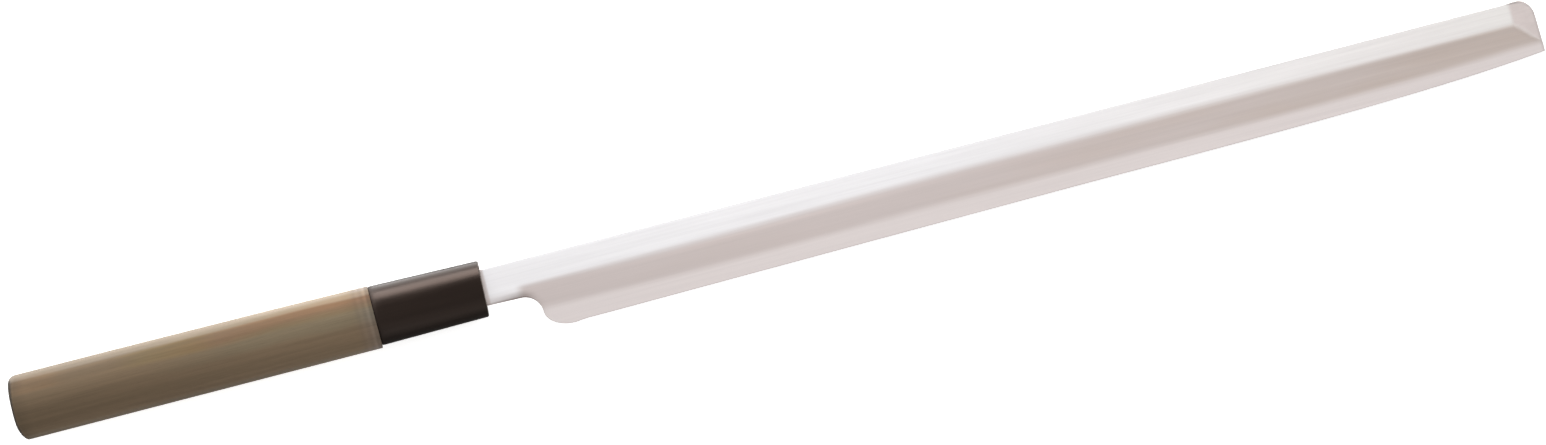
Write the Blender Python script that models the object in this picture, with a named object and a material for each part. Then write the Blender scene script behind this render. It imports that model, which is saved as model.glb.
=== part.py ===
"""Takohiki: a long, narrow, single-bevel slicing knife with a square tip, on a one-piece wooden grip.

The knife lies on its hollow-ground left side, bevelled side up, as it does when it is laid on a table.
It touches the table at two places, the front of the grip and the square tip, so its axis slopes down
a little towards the tip.

All dimensions are in millimetres, in the knife's own frame:
    x  along the knife, 0 at the front edge of the ferrule, positive towards the tip
    y  across the blade, positive towards the spine
    z  through the blade, positive out of the bevelled (right) side
"""

import math

import bmesh
import bpy
from mathutils import Matrix, Vector

MM = 0.001

# ---- blade: outline -------------------------------------------------------
TIP_X = 360.0  # square end, at the edge corner
TIP_LEAN = 0.6  # the square end leans back by this much at the spine
TIP_CORNER_RADIUS = 5.6  # rounded corner between the spine and the square end
SPINE_Y = 6.32
NECK_BOTTOM = ((0.0, -6.02), (10.0, -6.30))  # underside of the neck
HEEL_FILLET_RADIUS = 6.15  # concave, from the neck down to the heel
HEEL_FILLET_X = 11.25  # its centre
HEEL_X = 27.0  # the convex heel, a quarter of an ellipse, ends here in the edge
HEEL_BOTTOM_Y = -18.55
EDGE_LINE = (
    (22.0, -18.55),
    (27.0, -18.54),
    (30.5, -18.24),
    (36.0, -18.19),
    (44.0, -18.10),
    (100.0, -17.50),
    (200.0, -16.50),
    (262.0, -16.06),
    (300.0, -15.38),
    (330.0, -14.25),
    (350.0, -12.95),
    (360.0, -12.05),
)

# ---- blade: grinding ------------------------------------------------------
THICK_AT_NECK = 4.0
THICK_AT_TIP = 2.0
TAPER_X = 9.0  # the neck is even, and the blade thins from here to the tip
EDGE_THICK = 0.14
SHINOGI_LINE = ((0.0, -2.75), (60.0, -2.80), (140.0, -1.80), (210.0, -1.45), (300.0, -1.15), (360.0, -1.15))
EDGE_BAND_LINE = (
    (10.0, -11.50),
    (36.0, -11.75),
    (75.0, -11.90),
    (145.0, -11.05),
    (200.0, -10.88),
    (266.0, -10.62),
    (300.0, -10.42),
    (322.0, -10.05),
    (340.0, -9.40),
    (352.0, -8.95),
    (360.0, -8.82),
)
BAND_STEEPER = 1.14  # slope of the edge band over the slope of the wide bevel
PLUNGE_X = (9.4, 13.4)  # the bevel runs out of the neck over this stretch
TIP_BEVEL_X = 351.9  # the small bevel along the square end starts here
TIP_BEVEL_SLOPE = 0.17
SPINE_EASE = 0.28  # broken corners along the spine
NECK_EASE = (3.4, 0.42)  # eased lower corner of the neck: width, depth
HOLLOW_X = (24.0, 40.0, 338.0, 352.0)  # the hollow of the left side fades in and out
HOLLOW_DEPTH = 0.35
HOLLOW_RIM_SPINE = 2.2
HOLLOW_RIM_EDGE = 1.7

# ---- tang -----------------------------------------------------------------
TANG_END_X = -118.0
TANG_TOP = ((TANG_END_X, 3.0), (-4.4, 5.45))
TANG_BOTTOM = ((TANG_END_X, -2.6), (-4.4, -5.20))
TANG_THICK_END = 2.2
SHOULDER_X = (-4.4, -3.0)  # the neck narrows to the tang just inside the mouth

# ---- grip -----------------------------------------------------------------
BUTT_X = -160.75
BUTT_FLAT = 0.34  # flat middle of the domed end, as a share of the section
BUTT_MIDDLE_Y = -1.65  # where the end stands out furthest
BUTT_REACH = (11.1, 6.7, 10.3)  # the end falls back 1 mm within this distance upwards, downwards and sideways
BUTT_CORNER = (0.6, 1.7)  # length of its rounded corner, and what is added to it at the top
GRIP_FRONT_X = -37.1
GRIP_FRONT_EASE = 0.25
GRIP_TOP = ((-160.75, 10.99), (-130.0, 10.93), (-97.0, 10.76), (-64.0, 10.54), (-37.0, 10.20))
GRIP_BOTTOM = ((-160.75, -10.85), (-37.0, -10.85))
GRIP_HALF_THICK = ((-160.75, 9.15), (-37.0, 8.60))
GRIP_SQUARENESS = ((-160.75, 2.15), (-37.0, 2.10))

# ---- ferrule --------------------------------------------------------------
FERRULE_BACK_X = -36.85
FERRULE_NOSE_X = -0.1
FERRULE_NOSE_EASE = 0.85
FERRULE_TOP = ((-37.0, 10.00), (0.0, 9.20))
FERRULE_BOTTOM = ((-37.0, -10.02), (0.0, -9.63))
FERRULE_HALF_THICK = ((-37.0, 8.45), (0.0, 7.95))
FERRULE_SQUARENESS = 2.15
FERRULE_FRONT_LEAN = (0.155, 0.0404)  # its front face stands this far forward, more towards the spine
BORE_HALF = (7.70, 6.15)  # y, z
BORE_SQUARENESS = 2.2

# ---- inside the ferrule ---------------------------------------------------
GAP = 0.25  # clearance between pieces that touch
TENON_FRONT_X = -3.75
BEDDING_FRONT_X = -4.6
BEDDING_WALL = 0.60
SEAL_X = (-3.45, -0.25)
BORE_CENTRE_Y = 0.0

RING = 48  # points round every section of the grip and the ferrule


def smooth(t):
    """0 to 1 with flat ends."""
    t = min(max(t, 0.0), 1.0)
    return t * t * (3.0 - 2.0 * t)


def through(points, x):
    """Height at x of a smooth line through the points, straight on beyond its ends."""
    if len(points) == 2:
        (x0, y0), (x1, y1) = points
        return y0 + (y1 - y0) * (x - x0) / (x1 - x0)
    slopes = [
        (b[1] - a[1]) / (b[0] - a[0]) for a, b in zip(points[:-1], points[1:])
    ]
    tangents = (
        [slopes[0]] + [(a + b) / 2.0 for a, b in zip(slopes[:-1], slopes[1:])] + [slopes[-1]]
    )
    if x <= points[0][0]:
        return points[0][1] + tangents[0] * (x - points[0][0])
    if x >= points[-1][0]:
        return points[-1][1] + tangents[-1] * (x - points[-1][0])
    i = max(k for k in range(len(points) - 1) if points[k][0] <= x)
    (x0, y0), (x1, y1) = points[i], points[i + 1]
    span = x1 - x0
    t = (x - x0) / span
    return (
        y0 * (2 * t**3 - 3 * t**2 + 1)
        + y1 * (3 * t**2 - 2 * t**3)
        + span * (tangents[i] * (t**3 - 2 * t**2 + t) + tangents[i + 1] * (t**3 - t**2))
    )


# ---- blade: the shape of its surfaces -------------------------------------

HEEL_FILLET_Y = through(NECK_BOTTOM, HEEL_FILLET_X) - HEEL_FILLET_RADIUS
HEEL_TURN_X = HEEL_FILLET_X + HEEL_FILLET_RADIUS  # the outline is upright where fillet and heel meet
HEEL_LONG = HEEL_X - HEEL_TURN_X
HEEL_DEEP = HEEL_FILLET_Y - HEEL_BOTTOM_Y
LEFT_Z = -THICK_AT_NECK / 2.0  # plane of the left side


def bottom_y(x):
    """Lower outline: tang, neck, fillet, heel and edge."""
    if x <= SHOULDER_X[1]:
        step = smooth((x - SHOULDER_X[0]) / (SHOULDER_X[1] - SHOULDER_X[0]))
        tang = through(TANG_BOTTOM, min(x, SHOULDER_X[0]))
        return tang + (through(NECK_BOTTOM, 0.0) - tang) * step
    if x <= HEEL_FILLET_X:
        return through(NECK_BOTTOM, max(x, 0.0))
    if x <= HEEL_TURN_X:
        return HEEL_FILLET_Y + math.sqrt(
            max(HEEL_FILLET_RADIUS**2 - (x - HEEL_FILLET_X) ** 2, 0.0)
        )
    if x <= HEEL_X:
        share = (HEEL_X - x) / HEEL_LONG
        return HEEL_FILLET_Y - HEEL_DEEP * math.sqrt(max(1.0 - share**2, 0.0))
    return through(EDGE_LINE, x)


def top_y(x):
    """Upper outline: tang, straight spine and rounded tip corner."""
    if x <= SHOULDER_X[1]:
        step = smooth((x - SHOULDER_X[0]) / (SHOULDER_X[1] - SHOULDER_X[0]))
        tang = through(TANG_TOP, min(x, SHOULDER_X[0]))
        return tang + (SPINE_Y - tang) * step
    start = TIP_X - TIP_CORNER_RADIUS
    if x <= start:
        return SPINE_Y
    return SPINE_Y - TIP_CORNER_RADIUS + math.sqrt(
        max(TIP_CORNER_RADIUS**2 - (x - start) ** 2, 0.0)
    )


def flat_thickness(x):
    """Thickness at the flat of the blade: even along the neck, then thinning evenly to the tip."""
    share = max(x - TAPER_X, 0.0) / (TIP_X - TAPER_X)
    return THICK_AT_NECK + (THICK_AT_TIP - THICK_AT_NECK) * share


def bevel_slope(x):
    """Slope of the wide bevel, so that both bevels together reach the edge thickness."""
    wide = through(SHINOGI_LINE, x) - through(EDGE_BAND_LINE, x)
    band = through(EDGE_BAND_LINE, x) - through(EDGE_LINE, x)
    return (flat_thickness(x) - EDGE_THICK) / (wide + BAND_STEEPER * band)


def tip_bevel(x):
    return flat_thickness(TIP_BEVEL_X) - TIP_BEVEL_SLOPE * (x - TIP_BEVEL_X)


def thickness(x, y):
    """Thickness of the blade at any point of its outline."""
    flat = flat_thickness(x)
    below = through(SHINOGI_LINE, x) - y
    if below > 0.0:
        slope = bevel_slope(x)
        wide = through(SHINOGI_LINE, x) - through(EDGE_BAND_LINE, x)
        drop = slope * min(below, wide) + slope * BAND_STEEPER * max(below - wide, 0.0)
        flat -= drop * smooth((x - PLUNGE_X[0]) / (PLUNGE_X[1] - PLUNGE_X[0]))
    if x > TIP_BEVEL_X:
        flat = min(flat, tip_bevel(x))
    return max(flat, EDGE_THICK)


def blade_section(x):
    """Points (y, z) round the blade at x, from the spine over the right side to the edge and back."""
    top, bottom = top_y(x), bottom_y(x)
    if x < SHOULDER_X[1]:
        # tang: a plain bar with eased corners, tapering in thickness about the knife's axis
        share = (x - TANG_END_X) / (SHOULDER_X[1] - TANG_END_X)
        half = (TANG_THICK_END + (THICK_AT_NECK - TANG_THICK_END) * share) / 2.0
        upper = [(top, half - 0.3), (top - 0.3, half), (0.4 * top, half)]
        upper += [(0.4 * bottom, half), (bottom + 0.3, half), (bottom, half - 0.3)]
        low = -half
        hollow = 0.0
    else:
        ease = 1.0 - smooth((x - 9.0) / 9.0)
        width = 0.22 + (NECK_EASE[0] - 0.22) * ease
        depth = 0.10 + (NECK_EASE[1] - 0.10) * ease
        if x > HEEL_X:
            width, depth = 0.22, 0.0
        shinogi = through(SHINOGI_LINE, x)
        if x > TIP_BEVEL_X:
            # along the tip bevel the crease runs slantwise across the wide bevel
            shinogi -= (flat_thickness(x) - tip_bevel(x)) / bevel_slope(x)
        shinogi = min(shinogi, top - 1.2)
        band = min(max(through(EDGE_BAND_LINE, x), bottom + width), shinogi - 0.3)
        edge = max(LEFT_Z + thickness(x, bottom) - depth, LEFT_Z + EDGE_THICK)
        crown = LEFT_Z + thickness(x, top)
        upper = [
            (top, crown - SPINE_EASE),
            (top - SPINE_EASE, crown),
            (shinogi, LEFT_Z + thickness(x, shinogi)),
            (band, LEFT_Z + thickness(x, band)),
            (bottom, edge),
        ]
        middle = (upper[2][0] + upper[3][0]) / 2.0
        upper.insert(3, (middle, LEFT_Z + thickness(x, middle)))
        low = LEFT_Z
        hollow = HOLLOW_DEPTH * smooth((x - HOLLOW_X[0]) / (HOLLOW_X[1] - HOLLOW_X[0]))
        hollow *= 1.0 - smooth((x - HOLLOW_X[2]) / (HOLLOW_X[3] - HOLLOW_X[2]))
    first, last = bottom + HOLLOW_RIM_EDGE, top - HOLLOW_RIM_SPINE
    if x < HEEL_X:
        first, last = bottom + 0.25 * (top - bottom), top - 0.25 * (top - bottom)
    lower = [(bottom, low)]
    steps = 6
    for k in range(steps + 1):
        t = k / steps
        lower.append((first + (last - first) * t, low + hollow * 4.0 * t * (1.0 - t)))
    lower += [(top - SPINE_EASE, low), (top, low + SPINE_EASE)]
    return upper + lower


def blade_stations():
    """Places along the knife where the blade's section is drawn, closer where the outline turns."""
    xs = [TANG_END_X, -95.0, -70.0, -45.0, -20.0, SHOULDER_X[0], -3.7, SHOULDER_X[1] - 1e-6]
    xs += [SHOULDER_X[1] + 1e-3, 0.0, 5.0, TAPER_X, PLUNGE_X[0]]
    for k in range(1, 10):
        xs.append(HEEL_FILLET_X + HEEL_FILLET_RADIUS * math.sin(math.pi / 2.0 * k / 9.0))
    for k in range(1, 13):
        xs.append(HEEL_X - HEEL_LONG * math.cos(math.pi / 2.0 * k / 12.0))
    x = HEEL_X + 3.5
    while x < 340.0:
        xs.append(x)
        x += 5.0 if x < 45.0 else 12.0
    xs += [343.0, 348.0, TIP_BEVEL_X, 354.0]
    start = TIP_X - TIP_CORNER_RADIUS
    for k in range(0, 9):
        xs.append(start + TIP_CORNER_RADIUS * math.sin(math.pi / 2.0 * k / 8.0))
    return sorted(xs)


def lean(x, y):
    """Shift of the square end, which isn't quite at right angles to the spine."""
    share = smooth((x - TIP_BEVEL_X) / (TIP_X - TIP_BEVEL_X))
    return -TIP_LEAN * share * (y - EDGE_LINE[-1][1]) / (SPINE_Y - EDGE_LINE[-1][1])


# ---- grip and ferrule: the shape of their sections ------------------------


def oval(x, top, bottom, half_thick, squareness, count=RING):
    """A ring of points at x on a rounded section."""
    centre, half = (top + bottom) / 2.0, (top - bottom) / 2.0
    ring = []
    for k in range(count):
        angle = 2.0 * math.pi * k / count
        c, s = math.cos(angle), math.sin(angle)
        y = math.copysign(abs(c) ** (2.0 / squareness), c)
        z = math.copysign(abs(s) ** (2.0 / squareness), s)
        ring.append((x, centre + half * y, half_thick * z))
    return ring


def grip_ring(x, scale=1.0, inset=0.0):
    top, bottom = through(GRIP_TOP, x), through(GRIP_BOTTOM, x)
    centre = (top + bottom) / 2.0
    ring = oval(
        x,
        top - inset,
        bottom + inset,
        through(GRIP_HALF_THICK, x) - inset,
        through(GRIP_SQUARENESS, x),
    )
    return [(px, centre + (py - centre) * scale, pz * scale) for px, py, pz in ring]


def butt_ring(share):
    """The domed end of the grip where its section has grown to share: flat, then falling back as the cube."""
    up, down, side = BUTT_REACH
    ring = []
    for x, y, z in grip_ring(BUTT_X):
        rise = y - BUTT_MIDDLE_Y
        fall = math.hypot(rise / (up if rise > 0.0 else down), z / side) ** 3
        corner = BUTT_CORNER[0] + BUTT_CORNER[1] * max(y / through(GRIP_TOP, BUTT_X), 0.0) ** 2
        back = 0.0
        if share > BUTT_FLAT:
            back = fall * (share**3 - BUTT_FLAT**3)
            back += corner * (1.0 - math.sqrt(max(1.0 - share**14, 0.0)))
        ring.append((x + back, BUTT_MIDDLE_Y + rise * share, z * share))
    return ring


def ferrule_ring(x, inset=0.0):
    return oval(
        x,
        through(FERRULE_TOP, x) - inset,
        through(FERRULE_BOTTOM, x) + inset,
        through(FERRULE_HALF_THICK, x) - inset,
        FERRULE_SQUARENESS,
    )


def leaned(ring):
    """A ring of the front face, moved forward as that face leans."""
    forward, lean = FERRULE_FRONT_LEAN
    return [(x + forward + lean * y, y, z) for x, y, z in ring]


def bore_ring(x, inset=0.0):
    half_y, half_z = BORE_HALF
    return oval(
        x,
        BORE_CENTRE_Y + half_y - inset,
        BORE_CENTRE_Y - half_y + inset,
        half_z - inset,
        BORE_SQUARENESS,
    )


def slot_ring(x, margin):
    """Ring round the tang at x, this far off it, with tight corners."""
    at = min(x, SHOULDER_X[0])
    share = (at - TANG_END_X) / (SHOULDER_X[1] - TANG_END_X)
    half = (TANG_THICK_END + (THICK_AT_NECK - TANG_THICK_END) * share) / 2.0
    return oval(
        x,
        through(TANG_TOP, at) + margin,
        through(TANG_BOTTOM, at) - margin,
        half + margin,
        9.0,
    )


def neck_ring(x, margin):
    return oval(
        x,
        SPINE_Y + margin,
        through(NECK_BOTTOM, 0.0) - margin,
        THICK_AT_NECK / 2.0 + margin,
        12.0,
    )


# ---- mesh building --------------------------------------------------------


def loft(name, rings, material, closed=False, smooth_angle=28.0):
    """Skin a chain of rings. An open chain gets a flat cap at each end, a closed one joins up."""
    bm = bmesh.new()
    rows = [[bm.verts.new([c * MM for c in point]) for point in ring] for ring in rings]
    pairs = list(zip(rows[:-1], rows[1:]))
    if closed:
        pairs.append((rows[-1], rows[0]))
    for a, b in pairs:
        for i in range(len(a)):
            j = (i + 1) % len(a)
            bm.faces.new((a[i], a[j], b[j], b[i]))
    if not closed:
        bm.faces.new(rows[0])
        bm.faces.new(rows[-1])
    bmesh.ops.remove_doubles(bm, verts=bm.verts, dist=1e-7)
    bmesh.ops.recalc_face_normals(bm, faces=bm.faces)
    mesh = bpy.data.meshes.new(name)
    bm.to_mesh(mesh)
    bm.free()
    mesh.materials.append(material)
    mesh.shade_smooth()
    mesh.set_sharp_from_angle(angle=math.radians(smooth_angle))
    obj = bpy.data.objects.new(name, mesh)
    bpy.context.scene.collection.objects.link(obj)
    return obj


def finish(name, color, roughness, metallic):
    material = bpy.data.materials.new(name)
    material.use_nodes = True
    shader = material.node_tree.nodes["Principled BSDF"]
    shader.inputs["Base Color"].default_value = (*color, 1.0)
    shader.inputs["Roughness"].default_value = roughness
    shader.inputs["Metallic"].default_value = metallic
    return material


def make_blade():
    rings = []
    for x in blade_stations():
        rings.append([(x + lean(x, y), y, z) for y, z in blade_section(x)])
    steel = finish("satin_steel", (0.74, 0.72, 0.71), 0.32, 1.0)
    return loft("blade", rings, steel, smooth_angle=4.0)


def make_handle_body():
    rings = []
    for share in (BUTT_FLAT, 0.50, 0.62, 0.72, 0.80, 0.86, 0.91, 0.95, 0.98, 0.995, 1.0):
        rings.append(butt_ring(share))
    stations = 13
    start = BUTT_X + 6.0
    stop = GRIP_FRONT_X - GRIP_FRONT_EASE
    for k in range(stations + 1):
        rings.append(grip_ring(start + (stop - start) * k / stations))
    rings.append(grip_ring(GRIP_FRONT_X, inset=GRIP_FRONT_EASE * 0.7))
    # shoulder, tenon and the blind slot for the tang
    rings.append(bore_ring(GRIP_FRONT_X, GAP))
    rings.append(bore_ring(TENON_FRONT_X, GAP))
    margin = 2.0 * GAP + BEDDING_WALL
    for x in (TENON_FRONT_X, -45.0, -85.0, TANG_END_X - 2.2):
        rings.append(slot_ring(x, margin))
    wood = finish("ho_wood", (0.20, 0.145, 0.092), 0.55, 0.0)
    return loft("handle_body", rings, wood)


def make_ferrule():
    rings = [
        ferrule_ring(FERRULE_BACK_X, 0.2),
        ferrule_ring(FERRULE_BACK_X + 0.2),
        ferrule_ring(-24.0),
        ferrule_ring(-12.0),
        leaned(ferrule_ring(-0.70)),
        leaned(ferrule_ring(FERRULE_NOSE_X - 0.35, FERRULE_NOSE_EASE * 0.38)),
        leaned(ferrule_ring(FERRULE_NOSE_X, FERRULE_NOSE_EASE)),
        leaned(bore_ring(FERRULE_NOSE_X)),
        bore_ring(-18.0),
        bore_ring(FERRULE_BACK_X),
    ]
    horn = finish("black_horn", (0.022, 0.016, 0.013), 0.25, 0.0)
    return loft("ferrule", rings, horn, closed=True)


def make_tang_bedding():
    outer, inner = GAP + BEDDING_WALL, GAP
    rings = [slot_ring(TANG_END_X - 1.9, outer)]
    for x in (-85.0, -45.0, BEDDING_FRONT_X):
        rings.append(slot_ring(x, outer))
    for x in (BEDDING_FRONT_X, -45.0, -85.0, TANG_END_X - 0.5):
        rings.append(slot_ring(x, inner))
    resin = finish("cured_resin", (0.62, 0.52, 0.34), 0.4, 0.0)
    return loft("tang_bedding", rings, resin)


def make_mouth_seal():
    rings = [
        bore_ring(SEAL_X[0], GAP),
        leaned(bore_ring(SEAL_X[1], GAP)),
        leaned(neck_ring(SEAL_X[1], GAP)),
        neck_ring(SEAL_X[0], GAP),
    ]
    filler = finish("dark_filler", (0.06, 0.05, 0.045), 0.5, 0.0)
    return loft("mouth_seal", rings, filler, closed=True)


# ---- laying the knife on the table ----------------------------------------


def corners(parts):
    return [v.co.copy() for part in parts for v in part.data.vertices]


def resting_slope(blade, held):
    """Angle at which the tip and the front of the grip touch the table together."""
    low, high = 0.0, math.radians(4.0)
    for _ in range(60):
        middle = (low + high) / 2.0
        turn = Matrix.Rotation(middle, 4, "Y")
        tip = min((turn @ p).z for p in corners([blade]))
        grip = min((turn @ p).z for p in corners(held))
        if tip > grip:
            low = middle
        else:
            high = middle
    return (low + high) / 2.0


def lay_down(parts, blade, held):
    """Parent every piece to one empty, sloped and placed so that the knife's box stands centred on the origin."""
    angle = resting_slope(blade, held)
    turn = Matrix.Rotation(angle, 4, "Y")
    points = [turn @ p for p in corners(parts)]
    lowest = Vector([min(p[k] for p in points) for k in range(3)])
    highest = Vector([max(p[k] for p in points) for k in range(3)])
    axis = bpy.data.objects.new("knife_axis", None)
    axis.empty_display_size = 0.03
    axis.rotation_euler = (0.0, angle, 0.0)
    axis.location = (
        -(lowest.x + highest.x) / 2.0,
        -(lowest.y + highest.y) / 2.0,
        -lowest.z,
    )
    bpy.context.scene.collection.objects.link(axis)
    for part in parts:
        part.parent = axis


def main():
    for obj in list(bpy.data.objects):
        bpy.data.objects.remove(obj, do_unlink=True)
    blade = make_blade()
    handle_body = make_handle_body()
    ferrule = make_ferrule()
    tang_bedding = make_tang_bedding()
    mouth_seal = make_mouth_seal()
    lay_down(
        [blade, handle_body, ferrule, tang_bedding, mouth_seal],
        blade,
        [handle_body, ferrule],
    )


main()
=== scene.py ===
"""Looks of the takohiki knife: fine surfaces, finishes, floor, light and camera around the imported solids."""

import math

import bmesh
import bpy
from mathutils import Matrix, Vector


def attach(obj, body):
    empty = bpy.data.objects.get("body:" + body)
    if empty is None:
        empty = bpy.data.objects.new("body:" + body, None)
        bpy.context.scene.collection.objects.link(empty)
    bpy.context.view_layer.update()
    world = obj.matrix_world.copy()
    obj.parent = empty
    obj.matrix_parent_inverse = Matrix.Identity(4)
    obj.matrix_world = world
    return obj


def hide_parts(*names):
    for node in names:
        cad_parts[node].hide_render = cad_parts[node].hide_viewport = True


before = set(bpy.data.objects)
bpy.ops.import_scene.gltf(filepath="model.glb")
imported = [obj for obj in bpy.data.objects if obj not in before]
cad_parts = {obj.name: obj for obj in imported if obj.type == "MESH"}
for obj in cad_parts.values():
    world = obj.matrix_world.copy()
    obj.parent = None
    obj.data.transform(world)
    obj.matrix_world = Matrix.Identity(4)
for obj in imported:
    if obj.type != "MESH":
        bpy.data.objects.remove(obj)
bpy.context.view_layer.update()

MM = 0.001

# Where the knife's own frame lies in the row's frame: sloped about Y and moved, as in the solids.
# In the knife's frame x runs from the ferrule's front edge to the tip, y towards the spine, z out of the bevel.
SLOPE = math.radians(0.9518210117871269)
PLACE = (-0.09957, 0.00378, 0.00798)
KNIFE = Matrix.Translation(PLACE) @ Matrix.Rotation(SLOPE, 4, "Y")

# ---------------------------------------------------------------------------
# dimensions, in millimetres, the same as the solids'
# ---------------------------------------------------------------------------
TIP_X = 360.0
TIP_LEAN = 0.6
TIP_CORNER_RADIUS = 5.6
SPINE_Y = 6.32
NECK_BOTTOM = ((0.0, -6.02), (10.0, -6.30))
HEEL_FILLET_RADIUS = 6.15
HEEL_FILLET_X = 11.25
HEEL_X = 27.0
HEEL_BOTTOM_Y = -18.55
EDGE_LINE = (
    (22.0, -18.55),
    (27.0, -18.54),
    (30.5, -18.24),
    (36.0, -18.19),
    (44.0, -18.10),
    (100.0, -17.50),
    (200.0, -16.50),
    (262.0, -16.06),
    (300.0, -15.38),
    (330.0, -14.25),
    (350.0, -12.95),
    (360.0, -12.05),
)
THICK_AT_NECK = 4.0
THICK_AT_TIP = 2.0
TAPER_X = 9.0
EDGE_THICK = 0.14
SHINOGI_LINE = ((0.0, -2.55), (20.0, -2.60), (60.0, -2.80), (140.0, -1.80), (210.0, -1.45), (300.0, -1.15), (360.0, -1.15))
EDGE_BAND_LINE = (
    (10.0, -11.20),
    (36.0, -11.55),
    (52.0, -11.80),
    (75.0, -11.90),
    (145.0, -11.05),
    (200.0, -10.88),
    (266.0, -10.62),
    (300.0, -10.42),
    (322.0, -10.05),
    (340.0, -9.40),
    (352.0, -8.95),
    (360.0, -8.82),
)
BAND_STEEPER = 1.14
PLUNGE_X = (9.4, 13.4)
TIP_BEVEL_X = 351.9
TIP_BEVEL_SLOPE = 0.17
SPINE_EASE = 0.28
NECK_EASE = (3.6, 0.30)
NECK_CORNER = (0.7, 0.12)  # the tighter rounding at its outline
HOLLOW_X = (24.0, 40.0, 338.0, 352.0)
HOLLOW_DEPTH = 0.35
HOLLOW_RIM_SPINE = 2.2
HOLLOW_RIM_EDGE = 1.7
TANG_END_X = -118.0
TANG_TOP = ((TANG_END_X, 3.0), (-4.4, 5.45))
TANG_BOTTOM = ((TANG_END_X, -2.6), (-4.4, -5.20))
TANG_THICK_END = 2.2
SHOULDER_X = (-4.4, -3.0)
BUTT_X = -160.75
BUTT_FLAT = 0.34  # flat middle of the domed end, as a share of the section
BUTT_MIDDLE_Y = -1.65  # where the end stands out furthest
BUTT_REACH = (11.1, 6.7, 10.3)  # the end falls back 1 mm within this distance upwards, downwards and sideways
BUTT_CORNER = (0.6, 1.7)  # length of its rounded corner, and what is added to it at the top
GRIP_FRONT_X = -36.97
GRIP_FRONT_EASE = 0.25
GRIP_TOP = ((-160.75, 10.99), (-130.0, 10.93), (-97.0, 10.76), (-64.0, 10.54), (-37.0, 10.20))
GRIP_BOTTOM = ((-160.75, -10.85), (-37.0, -10.85))
GRIP_HALF_THICK = ((-160.75, 9.15), (-37.0, 8.60))
GRIP_SQUARENESS = ((-160.75, 2.15), (-37.0, 2.10))
FERRULE_BACK_X = -36.93
FERRULE_NOSE_X = -0.1
FERRULE_NOSE_EASE = 0.85
FERRULE_BACK_EASE = (1.1, 0.32)  # length and depth of the rounding at the joint
FERRULE_TOP = ((-37.0, 10.00), (0.0, 9.20))
FERRULE_BOTTOM = ((-37.0, -10.02), (0.0, -9.63))
FERRULE_HALF_THICK = ((-37.0, 8.45), (0.0, 7.95))
FERRULE_SQUARENESS = 2.15
FERRULE_FRONT_LEAN = (0.155, 0.0404)
BORE_HALF = (7.70, 6.15)
BORE_SQUARENESS = 2.2
GAP = 0.25
TENON_FRONT_X = -3.75
BEDDING_WALL = 0.60
SEAL_X = (-3.45, -0.25)

# ---------------------------------------------------------------------------
# curves and surfaces
# ---------------------------------------------------------------------------


def smooth(t):
    t = min(max(t, 0.0), 1.0)
    return t * t * (3.0 - 2.0 * t)


def through(points, x):
    """Height at x of a smooth line through the points, straight on beyond its ends."""
    if len(points) == 2:
        (x0, y0), (x1, y1) = points
        return y0 + (y1 - y0) * (x - x0) / (x1 - x0)
    slopes = [(b[1] - a[1]) / (b[0] - a[0]) for a, b in zip(points[:-1], points[1:])]
    tangents = (
        [slopes[0]] + [(a + b) / 2.0 for a, b in zip(slopes[:-1], slopes[1:])] + [slopes[-1]]
    )
    if x <= points[0][0]:
        return points[0][1] + tangents[0] * (x - points[0][0])
    if x >= points[-1][0]:
        return points[-1][1] + tangents[-1] * (x - points[-1][0])
    i = max(k for k in range(len(points) - 1) if points[k][0] <= x)
    (x0, y0), (x1, y1) = points[i], points[i + 1]
    span = x1 - x0
    t = (x - x0) / span
    return (
        y0 * (2 * t**3 - 3 * t**2 + 1)
        + y1 * (3 * t**2 - 2 * t**3)
        + span * (tangents[i] * (t**3 - 2 * t**2 + t) + tangents[i + 1] * (t**3 - t**2))
    )


HEEL_FILLET_Y = through(NECK_BOTTOM, HEEL_FILLET_X) - HEEL_FILLET_RADIUS
HEEL_TURN_X = HEEL_FILLET_X + HEEL_FILLET_RADIUS
HEEL_LONG = HEEL_X - HEEL_TURN_X
HEEL_DEEP = HEEL_FILLET_Y - HEEL_BOTTOM_Y
LEFT_Z = -THICK_AT_NECK / 2.0


def bottom_y(x):
    if x <= SHOULDER_X[1]:
        step = smooth((x - SHOULDER_X[0]) / (SHOULDER_X[1] - SHOULDER_X[0]))
        tang = through(TANG_BOTTOM, min(x, SHOULDER_X[0]))
        return tang + (through(NECK_BOTTOM, 0.0) - tang) * step
    if x <= HEEL_FILLET_X:
        return through(NECK_BOTTOM, max(x, 0.0))
    if x <= HEEL_TURN_X:
        return HEEL_FILLET_Y + math.sqrt(
            max(HEEL_FILLET_RADIUS**2 - (x - HEEL_FILLET_X) ** 2, 0.0)
        )
    if x <= HEEL_X:
        share = (HEEL_X - x) / HEEL_LONG
        return HEEL_FILLET_Y - HEEL_DEEP * math.sqrt(max(1.0 - share**2, 0.0))
    return through(EDGE_LINE, x)


def top_y(x):
    if x <= SHOULDER_X[1]:
        step = smooth((x - SHOULDER_X[0]) / (SHOULDER_X[1] - SHOULDER_X[0]))
        tang = through(TANG_TOP, min(x, SHOULDER_X[0]))
        return tang + (SPINE_Y - tang) * step
    start = TIP_X - TIP_CORNER_RADIUS
    if x <= start:
        return SPINE_Y
    return SPINE_Y - TIP_CORNER_RADIUS + math.sqrt(
        max(TIP_CORNER_RADIUS**2 - (x - start) ** 2, 0.0)
    )


def flat_thickness(x):
    share = max(x - TAPER_X, 0.0) / (TIP_X - TAPER_X)
    return THICK_AT_NECK + (THICK_AT_TIP - THICK_AT_NECK) * share


def bevel_slope(x):
    wide = through(SHINOGI_LINE, x) - through(EDGE_BAND_LINE, x)
    band = through(EDGE_BAND_LINE, x) - through(EDGE_LINE, x)
    return (flat_thickness(x) - EDGE_THICK) / (wide + BAND_STEEPER * band)


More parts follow.
